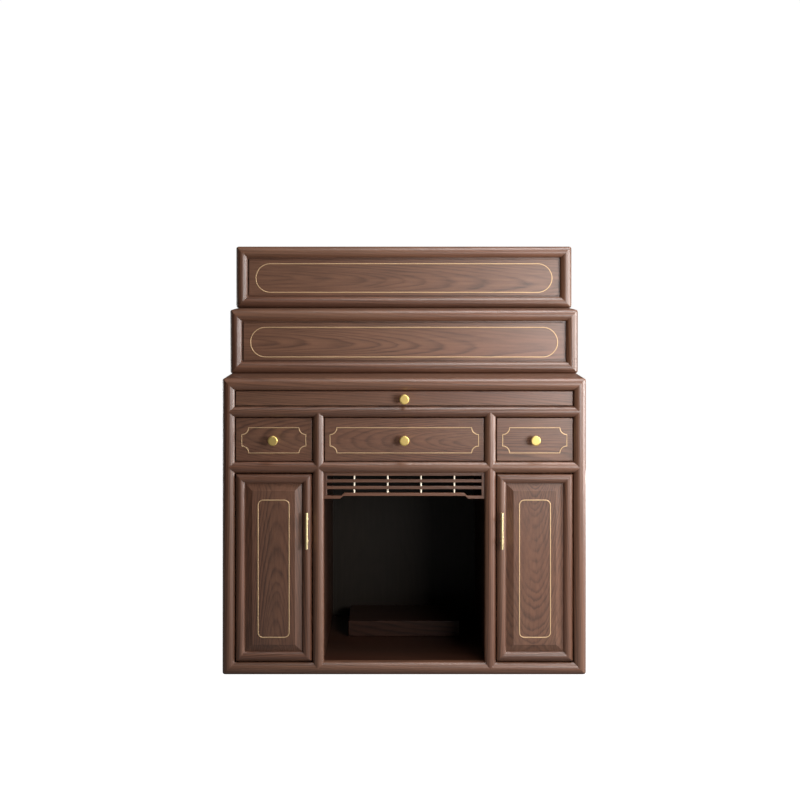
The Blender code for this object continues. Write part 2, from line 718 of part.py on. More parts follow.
def make_tier(name, floor, set_back):
    """A hollow box whose front is a mitred frame round an inlaid panel."""
    face = FACE + set_back
    bottom = floor + FIT
    top = floor + TIER_HEIGHT
    centre = (0, (bottom + top) / 2)
    groove = TIER_PANEL_SET_BACK
    section = grooved_section(
        TIER_MOULDING, MOULDING_REACH, FRAME_THICKNESS, groove - FIT, groove + TIER_PANEL + FIT
    )
    frame = mitred_ring(f"{name}_frame", WIDTH, top - bottom, section)
    place(frame, (0, face, centre[1]), WALNUT)

    half = HALF - TIER_MOULDING + PANEL_TONGUE - FIT
    up = (top - bottom) / 2 - TIER_MOULDING + PANEL_TONGUE - FIT
    panel_face = face + TIER_PANEL_SET_BACK
    panel = board(
        f"{name}_panel",
        (-half, panel_face, centre[1] - up),
        (half, panel_face + TIER_PANEL, centre[1] + up),
        WALNUT,
    )
    edge = 2 * TIER_MOULDING
    size = (WIDTH - edge - 2 * TIER_LINE_END, top - bottom - edge - 2 * TIER_LINE_SIDE)
    inlaid_line(panel, f"{name}_line", stadium, size, centre, panel_face)

    front = face + FRAME_THICKNESS + FIT
    body = board(f"{name}_box", (-HALF, front, bottom), (HALF, BACK, top), WALNUT)
    inside = HALF - TIER_WALL
    hollow = block_cutter(
        f"{name}_hollow",
        (-inside, front - OVERSHOOT, bottom - OVERSHOOT),
        (inside, BACK - BACK_THICKNESS, top - TIER_WALL),
    )
    combine(body, hollow)


make_carcass()
make_face_frame()
make_lattice()
make_plinth()
make_slide_board()
make_drawer("left", -SIDE_MIDDLE, SIDE_OPENING, SIDE_DRAWER_MARGIN)
make_drawer("centre", 0, NICHE_WIDTH, CENTRE_DRAWER_MARGIN)
make_drawer("right", SIDE_MIDDLE, SIDE_OPENING, SIDE_DRAWER_MARGIN)
make_door("left", -1)
make_door("right", 1)
make_tier("lower_tier", COUNTER, LOWER_TIER_SET_BACK)
make_tier("upper_tier", COUNTER + TIER_HEIGHT, UPPER_TIER_SET_BACK)
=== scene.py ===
import math
import random

import bmesh
import bpy
from mathutils import Matrix, Vector


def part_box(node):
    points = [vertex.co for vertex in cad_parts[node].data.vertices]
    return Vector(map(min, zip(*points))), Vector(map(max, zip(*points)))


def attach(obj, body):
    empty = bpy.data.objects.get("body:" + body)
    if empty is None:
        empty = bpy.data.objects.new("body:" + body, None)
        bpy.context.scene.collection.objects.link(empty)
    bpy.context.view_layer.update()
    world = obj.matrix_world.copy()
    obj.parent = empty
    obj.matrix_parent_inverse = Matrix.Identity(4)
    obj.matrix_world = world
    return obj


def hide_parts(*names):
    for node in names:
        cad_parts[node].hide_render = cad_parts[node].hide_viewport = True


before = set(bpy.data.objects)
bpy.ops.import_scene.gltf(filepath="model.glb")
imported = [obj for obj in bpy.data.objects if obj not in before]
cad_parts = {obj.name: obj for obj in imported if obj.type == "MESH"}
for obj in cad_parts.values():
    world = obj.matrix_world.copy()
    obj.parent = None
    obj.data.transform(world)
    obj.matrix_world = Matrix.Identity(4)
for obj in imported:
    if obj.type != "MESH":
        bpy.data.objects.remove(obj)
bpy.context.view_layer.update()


# Face frame: half-round stiles and rails of walnut, stained mid brown under a satin lacquer and glued
# up in front of the case. They are mitred at the four outer corners, whose edges are eased, and beaked
# where a rail or a short stile runs into the side of another member.

class Wire:
    """An output of a node tree that can be used in sums; each sum adds its Math node."""

    def __init__(self, socket):
        self.socket = socket
        self.tree = socket.id_data

    @staticmethod
    def node(tree, kind, settings=None, sockets=None, out=0):
        made = tree.nodes.new(kind)
        for name, value in (settings or {}).items():
            if name == "stops":
                ramp = made.color_ramp
                ramp.elements[0].position, ramp.elements[-1].position = value[0][0], value[-1][0]
                for place, _ in value[1:-1]:
                    ramp.elements.new(place)
                for element, (_, colour) in zip(ramp.elements, value):
                    element.color = (*colour, 1)
            else:
                setattr(made, name, value)
        for name, value in (sockets or {}).items():
            if isinstance(value, Wire):
                tree.links.new(value.socket, made.inputs[name])
            else:
                made.inputs[name].default_value = value
        return Wire(made.outputs[out]) if len(made.outputs) else made

    def beside(self, name):
        return Wire(self.socket.node.outputs[name])

    def math(self, operation, *others):
        values = dict(enumerate((self, *others)))
        return Wire.node(self.tree, "ShaderNodeMath", {"operation": operation}, values)

    def __add__(self, other):
        return self.math("ADD", other)

    def __sub__(self, other):
        return self.math("SUBTRACT", other)

    def __rsub__(self, other):
        return Wire.node(self.tree, "ShaderNodeMath", {"operation": "SUBTRACT"}, {0: other, 1: self})

    def __mul__(self, other):
        return self.math("MULTIPLY", other)

    def __truediv__(self, other):
        return self.math("DIVIDE", other)

    def __lt__(self, other):
        return self.math("LESS_THAN", other)

    def __gt__(self, other):
        return self.math("GREATER_THAN", other)

    __radd__ = __add__
    __rmul__ = __mul__

    def between_0_and_1(self):
        return self.math("MAXIMUM", 0).math("MINIMUM", 1)


def noise(place, stretch, detail=2.0, roughness=0.5):
    scaled = Wire.node(place.tree, "ShaderNodeVectorMath", {"operation": "MULTIPLY"}, {0: place, 1: stretch})
    return Wire.node(place.tree, "ShaderNodeTexNoise", {"noise_dimensions": "3D"},
                     {"Vector": scaled, "Scale": 1.0, "Detail": detail, "Roughness": roughness})


def bare_material(name):
    material = bpy.data.materials.new(name)
    material.use_nodes = True
    material.node_tree.nodes.clear()
    return material


def wood(name, pale, dark, flush, along=None, ring_contrast=0.70, gloss=0.75):
    """Lacquered wood with its rings round a pith. A board's own place in its log, X along it, comes from the
    grain attribute, so the figure turns at every mitre; with along given, it comes from Object coordinates."""
    ring_width, wander_reach, ripple_reach, year_reach, pore_level = 0.0054, 0.022, 0.0035, 0.016, 0.66
    pith_across, pith_deep, lean = 0.42, 0.1, 0.03
    material = bare_material(name)
    tree = material.node_tree
    if along is None:
        log = Wire.node(tree, "ShaderNodeAttribute", {"attribute_name": "grain"}, out="Vector")
    else:
        spot = Wire.node(tree, "ShaderNodeTexCoord", out="Object")
        parts = Wire.node(tree, "ShaderNodeSeparateXYZ", sockets={0: spot})
        x, y, z = parts, parts.beside("Y"), parts.beside("Z")
        lengthwise, across, deep = {"x": (x, y, z), "y": (y, x, z), "z": (z, y, x)}[along]
        log = Wire.node(tree, "ShaderNodeCombineXYZ", sockets={
            "X": lengthwise, "Y": across + lengthwise * lean + pith_across, "Z": deep + pith_deep})
    parts = Wire.node(tree, "ShaderNodeSeparateXYZ", sockets={0: log})
    across, deep = parts.beside("Y"), parts.beside("Z")

    # Each noise is given in waves to the metre, first along the board and then across it both ways.
    wander = noise(log, (1.7, 8, 8)) - 0.5
    ripple = noise(log, (11, 60, 60), 3.0) - 0.5
    radius = (across * across + deep * deep).math("SQRT") + wander * wander_reach + ripple * ripple_reach
    year = Wire.node(tree, "ShaderNodeTexNoise", {"noise_dimensions": "1D"},
                     {"W": radius * 31, "Scale": 1.0, "Detail": 1.0})
    ring = ((radius + year * year_reach) / ring_width).math("FRACT")
    latewood = Wire.node(tree, "ShaderNodeValToRGB", {"stops": [
        (0.0, (0.34,) * 3), (0.1, (0.06,) * 3), (0.5, (0.22,) * 3), (0.86, (1.0,) * 3), (1.0, (0.34,) * 3)]},
        {"Fac": ring})
    strength = noise(log, (0.9, 17, 17))
    fibre = noise(log, (16, 760, 760), 3.0, 0.6)
    streak = noise(log, (3.5, 150, 150), 2.0)
    tone = noise(log, (0.8, 5, 5), 1.0)
    pores = noise(log, (60, 1500, 1500), 1.0).math("GREATER_THAN", pore_level)
    depth = (latewood - 0.3) * (strength * 2.4 - 0.55) * ring_contrast
    depth = depth + (fibre - 0.5) * 0.55 + (streak - 0.5) * 0.95
    depth = (depth + (tone - 0.5) * 0.9 + 0.42 + pores * 0.12).between_0_and_1()
    brown = Wire.node(tree, "ShaderNodeMix", {"data_type": "RGBA"},
                      {0: depth, 6: (*pale, 1), 7: (*dark, 1)}, out=2)
    blush = (noise(log, (1.1, 9, 9), 1.0) * 2.6 - 0.95).between_0_and_1()
    colour = Wire.node(tree, "ShaderNodeMix", {"data_type": "RGBA", "blend_type": "MULTIPLY"},
                       {0: blush, 6: brown, 7: (*flush, 1)}, out=2)
    relief = Wire.node(tree, "ShaderNodeBump", sockets={
        "Strength": 0.22, "Distance": 0.0004, "Height": fibre * 0.7 - pores * 0.6 - depth * 0.3}, out="Normal")
    finish = Wire.node(tree, "ShaderNodeBsdfPrincipled", sockets={
        "Base Color": colour, "Roughness": 0.34 + fibre * 0.1 + pores * 0.08, "Normal": relief,
        "Specular IOR Level": gloss})
    Wire.node(tree, "ShaderNodeOutputMaterial", sockets={"Surface": finish})
    return material


walnut = wood("walnut", (0.172, 0.078, 0.043), (0.055, 0.023, 0.012), (0.94, 0.82, 0.80))


def new_tree(name, inputs):
    """A Geometry Nodes tree with named inputs, and a Wire for each of them."""
    tree = bpy.data.node_groups.new(name, "GeometryNodeTree")
    tree.interface.new_socket("Geometry", in_out="OUTPUT", socket_type="NodeSocketGeometry")
    for label, kind in inputs.items():
        tree.interface.new_socket(label, in_out="INPUT", socket_type=kind)
    source = tree.nodes.new("NodeGroupInput")
    return tree, {label: Wire(source.outputs[label]) for label in inputs}


def end_tree(shape, material):
    real = Wire.node(shape.tree, "GeometryNodeRealizeInstances", sockets={"Geometry": shape})
    painted = Wire.node(shape.tree, "GeometryNodeSetMaterial", sockets={"Geometry": real, "Material": material})
    Wire.node(shape.tree, "NodeGroupOutput", sockets={"Geometry": painted})


def grow(tree, values, start=None):
    """The result of a Geometry Nodes tree as a plain mesh."""
    holder = bpy.data.objects.new("holder", start or bpy.data.meshes.new("holder"))
    bpy.context.scene.collection.objects.link(holder)
    modifier = holder.modifiers.new("tree", "NODES")
    modifier.node_group = tree
    for item in tree.interface.items_tree:
        if item.in_out == "INPUT" and item.name in values:
            modifier[item.identifier] = values[item.name]
    done = bpy.data.meshes.new_from_object(holder.evaluated_get(bpy.context.evaluated_depsgraph_get()))
    bpy.data.objects.remove(holder)
    return done


def half_round_tree():
    """A straight bar, half-round in front and square behind, from a cylinder whose points are moved.
    X runs along it, Y from its outer to its inner edge and Z to the front."""
    edge_slope = math.radians(62.5)
    sizes = {label: "NodeSocketFloat" for label in (
        "Length", "Width", "Reach", "Thickness", "Start Mitre", "End Mitre", "Start Beak", "End Beak", "Ease")}
    tree, size = new_tree("half round bar", {**sizes, "Material": "NodeSocketMaterial"})
    tube = Wire.node(tree, "GeometryNodeMeshCylinder", {"fill_type": "TRIANGLE_FAN"}, {
        "Vertices": 64, "Side Segments": 30, "Fill Segments": 1, "Radius": 1.0, "Depth": 1.0})
    spot = Wire.node(tree, "GeometryNodeInputPosition")
    parts = Wire.node(tree, "ShaderNodeSeparateXYZ", sockets={0: spot})
    side, up, run = parts, parts.beside("Y"), parts.beside("Z") + 0.5
    front = up > 0
    square = side.math("ABSOLUTE").math("MAXIMUM", up.math("ABSOLUTE")).math("MAXIMUM", 0.0001)
    lateral = front * side + (1 - front) * side / square
    bend, flat = 1 / math.sin(edge_slope), 1 / math.tan(edge_slope)
    swell = ((bend * bend - side * side).math("SQRT") - flat) / (bend - flat)
    height = front * swell * size["Reach"] + (1 - front) * up / square * size["Thickness"]
    inward = (lateral + 1) * 0.5 * size["Width"]
    beak = 1 - lateral.math("ABSOLUTE")
    begin = inward * size["Start Mitre"] - beak * size["Start Beak"]
    finish = size["Length"] - inward * size["End Mitre"] + beak * size["End Beak"]

    # A third of the rings lies in each end zone, as long as the bar is wide, and closer towards its end.
    near, far = run * 3, (1 - run) * 3
    zone = size["Width"]
    close = zone * near * near
    away = size["Length"] - zone * far * far
    middle = zone + (size["Length"] - 2 * zone) * (run * 3 - 1)
    station = (near < 1) * close + (far < 1) * away + (1 - (near < 1)) * (1 - (far < 1)) * middle
    along = begin + (finish - begin) * station / size["Length"]

    def eased(distance, depth):
        """Pulls the square corner of the bar's outer edge in to a quarter circle."""
        ease = size["Ease"]
        inside = (distance < ease) * (depth < ease)
        first, second = ease - distance, ease - depth
        longest = first.math("MAXIMUM", second)
        pull = longest / (first * first + second * second).math("SQRT").math("MAXIMUM", 0.00001)
        pull = inside * pull + (1 - inside)
        return ease - first * pull, ease - second * pull

    start_run, start_depth = eased(along, inward)
    end_run, end_depth = eased(size["Length"] - along, inward)
    first_half = along < size["Length"] * 0.5
    place = Wire.node(tree, "ShaderNodeCombineXYZ", sockets={
        "X": first_half * start_run + (1 - first_half) * (size["Length"] - end_run),
        "Y": first_half * start_depth + (1 - first_half) * end_depth,
        "Z": height})
    bar = Wire.node(tree, "GeometryNodeSetPosition", sockets={"Geometry": tube, "Position": place})
    end_tree(bar, size["Material"])
    return tree


half_round = half_round_tree()


class Joinery:
    """Gathers the members of one piece, each sawn with its own grain, into one mesh."""

    sawn = 0

    def __init__(self):
        self.points, self.faces, self.grain = [], [], []

    def add(self, mesh, along, out, pith=(0.22, 0.05), tilt=(0.0, 0.0)):
        """along is the way of the grain, out the board's face; pith says how far across and how deep the
        log's middle lies, and tilt how much either grows along the board."""
        along, out = Vector(along), Vector(out)
        side = out.cross(along)
        spots = [vertex.co.copy() for vertex in mesh.vertices]
        middle = (Vector(map(min, *spots)) + Vector(map(max, *spots))) / 2
        Joinery.sawn += 1
        shift = random.Random(str(Joinery.sawn)).uniform(0, 30)
        offset = len(self.points)
        for spot in spots:
            length = (spot - middle).dot(along)
            self.grain += [shift + length, pith[0] + (spot - middle).dot(side) + tilt[0] * length,
                           pith[1] + (spot - middle).dot(out) + tilt[1] * length]
        self.points += spots
        self.faces += [[offset + index for index in face.vertices] for face in mesh.polygons]
        bpy.data.meshes.remove(mesh)
        return self

    def piece(self, name, body, slot, nodes, material, sharp=26):
        mesh = bpy.data.meshes.new(name)
        mesh.from_pydata(self.points, [], self.faces)
        mesh.attributes.new("grain", "FLOAT_VECTOR", "POINT").data.foreach_set("vector", self.grain)
        mesh.materials.append(material)
        mesh.shade_smooth()
        mesh.set_sharp_from_angle(angle=math.radians(sharp))
        made = bpy.data.objects.new(name, mesh)
        bpy.context.scene.collection.objects.link(made)
        normals = made.modifiers.new("even shading", "WEIGHTED_NORMAL")
        normals.keep_sharp = True
        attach(made, body)
        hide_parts(*nodes)
        return made


def frame_axes(start, along, inward):
    """The matrix that lays a bar out from start; its front then faces the way of along x inward."""
    along, inward = Vector(along), Vector(inward)
    turned = Matrix((along, inward, along.cross(inward))).transposed().to_4x4()
    return Matrix.Translation(start) @ turned


def bar(start, along, inward, length, width, reach, mitres=(0, 0), beaks=(0, 0), ease=0.0):
    mesh = grow(half_round, {
        "Length": length, "Width": width, "Reach": reach, "Thickness": frame_thickness,
        "Start Mitre": mitres[0], "End Mitre": mitres[1], "Start Beak": beaks[0], "End Beak": beaks[1],
        "Ease": ease, "Material": walnut})
    mesh.transform(frame_axes(start, along, inward))
    return mesh


RIGHT, LEFT, UP, DOWN = (1, 0, 0), (-1, 0, 0), (0, 0, 1), (0, 0, -1)
FRONT, BACK = (0, -1, 0), (0, 1, 0)
frame_thickness, corner_ease, seam = 0.020, 0.0075, 0.0001
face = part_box("slide_board_front")[0].y
low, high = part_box("left_stile")
frame_reach = face - low.y
stile_width = high.x - low.x
low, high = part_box("bottom_rail")
rail_width = high.z - low.z
low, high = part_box("counter_top")
case_half, counter = high.x, high.z

for name, start, along, inward, length, width, other_width, grain, pith, tilt in (
        ("left_stile", (-case_half, face, counter), DOWN, RIGHT, counter, stile_width, rail_width, UP,
         (0.16, 0.03), (0.02, 0.01)),
        ("right_stile", (case_half, face, 0), UP, LEFT, counter, stile_width, rail_width, UP,
         (0.19, 0.06), (-0.015, 0.01)),
        ("top_rail", (case_half, face, counter), LEFT, DOWN, case_half * 2, rail_width, stile_width, RIGHT,
         (0.045, 0.03), (0.035, 0.01)),
        ("bottom_rail", (-case_half, face, 0), RIGHT, UP, case_half * 2, rail_width, stile_width, RIGHT,
         (0.12, 0.03), (0.02, 0.02))):
    mesh = bar(start, along, inward, length, width, frame_reach, ((other_width + seam) / width,) * 2,
               ease=corner_ease)
    Joinery().add(mesh, grain, FRONT, pith, tilt).piece(name + "_bar", "cabinet", "walnut", [name], walnut)

inner_half = case_half - stile_width
for name, pith, tilt in (("slide_rail", (0.06, 0.02), (-0.05, 0.0)),
                         ("drawer_rail", (0.08, 0.025), (0.03, 0.02))):
    low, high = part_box(name)
    mesh = bar((-inner_half, face, low.z), RIGHT, UP, inner_half * 2, high.z - low.z, frame_reach,
               beaks=(stile_width / 2 - seam,) * 2)
    Joinery().add(mesh, RIGHT, FRONT, pith, tilt).piece(name + "_bar", "cabinet", "walnut", [name], walnut)

slide_low, slide_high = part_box("slide_rail")
drawer_low, drawer_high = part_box("drawer_rail")
slide_rail_width, drawer_rail_width = slide_high.z - slide_low.z, drawer_high.z - drawer_low.z
for rank, bottom, top, below, above in (
        ("drawer", drawer_high.z, slide_low.z, drawer_rail_width, slide_rail_width),
        ("niche", rail_width, drawer_low.z, rail_width, drawer_rail_width)):
    for name in ("left_" + rank + "_stile", "right_" + rank + "_stile"):
        low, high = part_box(name)
        mesh = bar((high.x, face, bottom), UP, LEFT, top - bottom, high.x - low.x, frame_reach,
                   beaks=(below / 2 - seam, above / 2 - seam))
        Joinery().add(mesh, UP, FRONT, (0.14, 0.04), (0.02, 0.0)).piece(
            name + "_bar", "cabinet", "walnut", [name], walnut)


# Case: veneered walnut boards that stand between the frame and the back. The counter lies on the two
# side panels, and its long edges and the feet of the panels are rounded to follow the eased corners of
# the frame. The boards inside are stained dark, and their colour is darker still as painted shade of the
# open niche. The dividers between the drawers are plain wood.

def plain_mesh(form):
    mesh = bpy.data.meshes.new("board")
    form.to_mesh(mesh)
    form.free()
    return mesh


def extruded(outline, direction, length, ease):
    """A board whose outline, a list of points, is drawn out along direction and eased on its end edges."""
    form = bmesh.new()
    ring = form.faces.new([form.verts.new(point) for point in outline])
    pushed = bmesh.ops.extrude_face_region(form, geom=[ring])
    bmesh.ops.translate(form, vec=Vector(direction) * length,
                        verts=[part for part in pushed["geom"] if isinstance(part, bmesh.types.BMVert)])
    bmesh.ops.recalc_face_normals(form, faces=form.faces)
    ends = [f for f in form.faces if abs(f.normal.dot(Vector(direction))) > 0.99]
    edges = list({edge for f in ends for edge in f.edges})
    bmesh.ops.bevel(form, geom=edges, offset=ease, segments=2, profile=0.5, affect="EDGES", clamp_overlap=True)
    return plain_mesh(form)


def board(low, high, ease):
    """A plain board with all its edges eased."""
    form = bmesh.new()
    bmesh.ops.create_cube(form, size=1.0)
    bmesh.ops.scale(form, vec=high - low, verts=form.verts)
    bmesh.ops.translate(form, vec=(high + low) / 2, verts=form.verts)
    bmesh.ops.bevel(form, geom=form.edges[:], offset=ease, segments=3, profile=0.5, affect="EDGES")
    return plain_mesh(form)


def case_board(low, high, radii):
    """A board that runs from front to back. The corners of its front view are rounded by the radii, given
    for bottom left, bottom right, top right and top left."""
    steps, outline = 6, []
    corners = ((low.x, low.z, 180), (high.x, low.z, 270), (high.x, high.z, 0), (low.x, high.z, 90))
    for (x, z, angle), radius in zip(corners, radii):
        middle_x = x + (radius if x == low.x else -radius)
        middle_z = z + (radius if z == low.z else -radius)
        for step in range(steps + 1):
            turn = math.radians(angle + 90 * step / steps)
            outline.append((middle_x + radius * math.cos(turn), low.y, middle_z + radius * math.sin(turn)))
    return extruded(outline, BACK, high.y - low.y, arris)


def finish_node(name, material):
    """Gives a CAD board that keeps its own mesh its finish."""
    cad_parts[name].material_slots[0].material = material


arris = 0.0008
top_radii = (arris, arris, corner_ease, corner_ease)
left_radii, right_radii = (corner_ease, arris, arris, arris), (arris, corner_ease, arris, arris)
low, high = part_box("counter_top")
Joinery().add(case_board(low, high, top_radii), RIGHT, UP, (0.03, 0.05), (0.06, 0.08)).piece(
    "counter_board", "cabinet", "walnut", ["counter_top"], walnut)

for name, out, radii in (("left_side_panel", LEFT, left_radii), ("right_side_panel", RIGHT, right_radii)):
    low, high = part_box(name)
    Joinery().add(case_board(low, high, radii), UP, out, (0.02, 0.045), (0.03, 0.09)).piece(
        name + "_veneered", "cabinet", "walnut", [name], walnut)

for way, names in (("x", ("base_board", "middle_board", "slide_support_board")),
                   ("z", ("left_niche_wall", "right_niche_wall"))):
    # Painted shade: these boards' colours are taken darker than their stain, for the shade inside the niche.
    dark_walnut_and_shade = wood("dark_walnut_" + way, (0.050, 0.022, 0.012), (0.013, 0.005, 0.003), (1.0, 0.72, 0.66),
                       along=way, gloss=0.25)
    for name in names:
        finish_node(name, dark_walnut_and_shade)

plain_wood = wood("plain_wood", (0.36, 0.24, 0.15), (0.20, 0.12, 0.07), (0.95, 0.9, 0.85), along="y")
for name in ("left_drawer_divider", "right_drawer_divider"):
    finish_node(name, plain_wood)


# Back panel: a thin board let in between the side panels, glued and pinned from behind. It is stained
# dark, and its colour is taken almost black as painted shade, for its inner face is what shows at the
# back of the open niche.

# Painted shade: a near-black colour for the unlit back of the niche, on both faces of the panel.
back_stain_and_shade = wood("back_stain_and_shade", (0.026, 0.020, 0.015), (0.017, 0.013, 0.010), (1, 0.95, 0.9), along="z",
                  ring_contrast=0.3, gloss=0.2)
finish_node("back_panel", back_stain_and_shade)


# Niche plinth: a low stand of walnut on the floor of the niche, stained dark, and darker still as painted
# shade of the niche. It is glued down near the back.

# Painted shade: the plinth's colour is taken darker than its stain, for the shade inside the niche.
dark_stain_and_shade = wood("dark_stain_and_shade", (0.044, 0.020, 0.012), (0.011, 0.005, 0.003), (1, 0.8, 0.78), gloss=0.25)
low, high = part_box("niche_plinth")
Joinery().add(board(low, high, 0.0018), RIGHT, FRONT, (0.05, 0.03), (0.02, 0.05)).piece(
    "niche_stand", "cabinet", "walnut", ["niche_plinth"], dark_stain_and_shade)


# Niche lattice: thin walnut slats tenoned into two end posts, with the lowest slat cranked down at both
# ends. Four pale brass rods, drawn, brushed and clear lacquered, pass down through the slats.

def slat_tree():
    tree, size = new_tree("slats", {
        "Count": "NodeSocketInt", "Pitch": "NodeSocketFloat", "Length": "NodeSocketFloat",
        "Height": "NodeSocketFloat", "Thickness": "NodeSocketFloat", "Ease": "NodeSocketFloat",
        "Material": "NodeSocketMaterial"})
    drop = Wire.node(tree, "ShaderNodeCombineXYZ", sockets={"Z": size["Pitch"] * -1})
    places = Wire.node(tree, "GeometryNodeMeshLine", {"mode": "OFFSET"},
                       {"Count": size["Count"], "Offset": drop})
    start = Wire.node(tree, "ShaderNodeCombineXYZ", sockets={"X": size["Length"] * -0.5})
    end = Wire.node(tree, "ShaderNodeCombineXYZ", sockets={"X": size["Length"] * 0.5})
    line = Wire.node(tree, "GeometryNodeCurvePrimitiveLine", sockets={"Start": start, "End": end})
    section = Wire.node(tree, "GeometryNodeCurvePrimitiveQuadrilateral",
                        sockets={"Width": size["Thickness"], "Height": size["Height"]})
    rounded = Wire.node(tree, "GeometryNodeFilletCurve", {"mode": "POLY"},
                        {"Curve": section, "Radius": size["Ease"], "Count": 3})
    slat = Wire.node(tree, "GeometryNodeCurveToMesh",
                     sockets={"Curve": line, "Profile Curve": rounded, "Fill Caps": True})
    row = Wire.node(tree, "GeometryNodeInstanceOnPoints", sockets={"Points": places, "Instance": slat})
    end_tree(row, size["Material"])
    return tree


def rod_tree():
    tree, size = new_tree("brass rods", {
        "Count": "NodeSocketInt", "Pitch": "NodeSocketFloat", "Length": "NodeSocketFloat",
        "Radius": "NodeSocketFloat", "Material": "NodeSocketMaterial"})
    step = Wire.node(tree, "ShaderNodeCombineXYZ", sockets={"X": size["Pitch"]})
    places = Wire.node(tree, "GeometryNodeMeshLine", {"mode": "OFFSET"},
                       {"Count": size["Count"], "Offset": step})
    rod = Wire.node(tree, "GeometryNodeMeshCylinder", sockets={
        "Vertices": 24, "Side Segments": 1, "Radius": size["Radius"], "Depth": size["Length"]})
    row = Wire.node(tree, "GeometryNodeInstanceOnPoints", sockets={"Points": places, "Instance": rod})
    end_tree(row, size["Material"])
    return tree


def outward(mesh):
    """Merges doubled points and turns all faces outwards."""
    form = bmesh.new()
    form.from_mesh(mesh)
    bmesh.ops.remove_doubles(form, verts=form.verts, dist=0.00001)
    bmesh.ops.recalc_face_normals(form, faces=form.faces)
    form.to_mesh(mesh)
    form.free()
    return mesh


slat, gap, end_post, foot, drop, slat_ease = 0.009, 0.011, 0.0085, 0.049, 0.0085, 0.0009
low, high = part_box("niche_lattice")
depth, half = high.y - low.y, high.x
lattice = Joinery()
slats = outward(grow(slat_tree(), {
    "Count": 3, "Pitch": slat + gap, "Length": high.x - low.x - 2 * end_post, "Height": slat,
    "Thickness": depth, "Ease": slat_ease, "Material": walnut}))
slats.transform(Matrix.Translation((0, (low.y + high.y) / 2, high.z - slat / 2)))
lattice.add(slats, RIGHT, FRONT, (0.2, 0.05), (0.01, 0))
for near, far in ((low.x, low.x + end_post), (high.x - end_post, high.x)):
    lattice.add(board(Vector((near, low.y, low.z + slat)), Vector((far, high.y, high.z)), slat_ease), UP, FRONT)
top, bottom = high.z - 3 * (slat + gap), low.z
crank = [(half, bottom + slat), (half - foot - drop * 0.3, bottom + slat), (half - foot - drop * 1.3, top)]
under = [(half - foot - drop * 0.9, top - slat), (half - foot + drop * 0.1, bottom), (half, bottom)]
outline = [(-x, z) for x, z in reversed(under)] + under + crank + [(-x, z) for x, z in reversed(crank)]
lattice.add(extruded([(x, low.y, z) for x, z in outline], BACK, depth, slat_ease), RIGHT, FRONT,
            (0.2, 0.05), (0.01, 0))
lattice.piece("lattice_slats", "cabinet", "walnut", ["niche_lattice"], walnut)


def brass_finish(name, colour, roughness, metallic=1.0):
    material = bare_material(name)
    tree = material.node_tree
    brushed = Wire.node(tree, "ShaderNodeAttribute", {"attribute_name": "grain"}, out="Vector")
    lines = noise(brushed, (20, 1400, 1400), 2.0)
    cloud = noise(brushed, (30, 60, 60), 2.0)
    dulled = [part * 0.86 for part in colour]
    tint = Wire.node(tree, "ShaderNodeMix", {"data_type": "RGBA"}, {0: cloud, 6: (*colour, 1), 7: (*dulled, 1)},
                     out=2)
    relief = Wire.node(tree, "ShaderNodeBump", sockets={"Strength": 0.03, "Distance": 0.00005, "Height": lines},
                       out="Normal")
    finish = Wire.node(tree, "ShaderNodeBsdfPrincipled", sockets={
        "Base Color": tint, "Metallic": metallic, "Roughness": roughness + lines * 0.1, "Normal": relief})
    Wire.node(tree, "ShaderNodeOutputMaterial", sockets={"Surface": finish})
    return material


pale_brass = brass_finish("pale_brass", (0.98, 0.86, 0.68), 0.40, 0.3)
rod_nodes = ["lattice_post_1", "lattice_post_2", "lattice_post_3", "lattice_post_4"]
low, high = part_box(rod_nodes[0])
rod_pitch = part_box(rod_nodes[1])[0].x - low.x
rods = grow(rod_tree(), {"Count": len(rod_nodes), "Pitch": rod_pitch, "Length": high.z - low.z,
                         "Radius": (high.x - low.x) / 2, "Material": pale_brass})
rods.transform(Matrix.Translation((low + high) / 2))
Joinery().add(rods, UP, FRONT).piece("lattice_rods", "cabinet", "brass", rod_nodes, pale_brass)


# Pull-out board: a long walnut shelf that slides out above the drawers, with a narrow front glued to
# its edge. Its turned brass knob has a round foot, a thin neck and a flat head with a rounded rim, and
# one machine screw holds it from behind, as on the drawers.

def turned(profile, start, axis, sides=64):
    """A closed turned form from (radius, distance) points."""
    axis = Vector(axis)
    first = axis.orthogonal().normalized()
    second = axis.cross(first)
    points, rows, faces = [], [], []
    for radius, distance in profile:
        ring = [0.0] if radius == 0 else [2 * math.pi * side / sides for side in range(sides)]
        rows.append([len(points)] * sides if radius == 0 else list(range(len(points), len(points) + sides)))
        points += [Vector(start) + axis * distance + (first * math.cos(a) + second * math.sin(a)) * radius
                   for a in ring]
    for below, above in zip(rows, rows[1:]):
        for side in range(sides):
            corners = [below[side], below[(side + 1) % sides], above[(side + 1) % sides], above[side]]
            faces.append([c for k, c in enumerate(corners) if c not in corners[:k]])
    mesh = bpy.data.meshes.new("turned")
    mesh.from_pydata(points, [], faces)
    return outward(mesh)


brass = brass_finish("brass", (0.76, 0.555, 0.19), 0.45)
knob_profile = [
    (0, 0), (0.0092, 0), (0.0095, 0.0003), (0.0095, 0.0021), (0.0090, 0.0028), (0.0078, 0.0033),
    (0.0064, 0.0042), (0.0057, 0.0056), (0.0054, 0.0080), (0.0054, 0.0225), (0.0058, 0.0255),
    (0.0070, 0.0278), (0.0095, 0.0292), (0.0124, 0.0300), (0.0138, 0.0309), (0.0145, 0.0323),
    (0.01475, 0.0338), (0.01475, 0.0368), (0.0144, 0.0380), (0.0137, 0.0389), (0.0128, 0.0394),
    (0.0118, 0.0396), (0.0100, 0.03965), (0, 0.0397)]


def knob(name, body):
    low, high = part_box(name)
    seat = Vector(((low.x + high.x) / 2, high.y, (low.z + high.z) / 2))
    Joinery().add(turned(knob_profile, seat, FRONT), RIGHT, FRONT, (0, 0)).piece(
        name + "_turned", body, "brass", [name], brass, sharp=50)


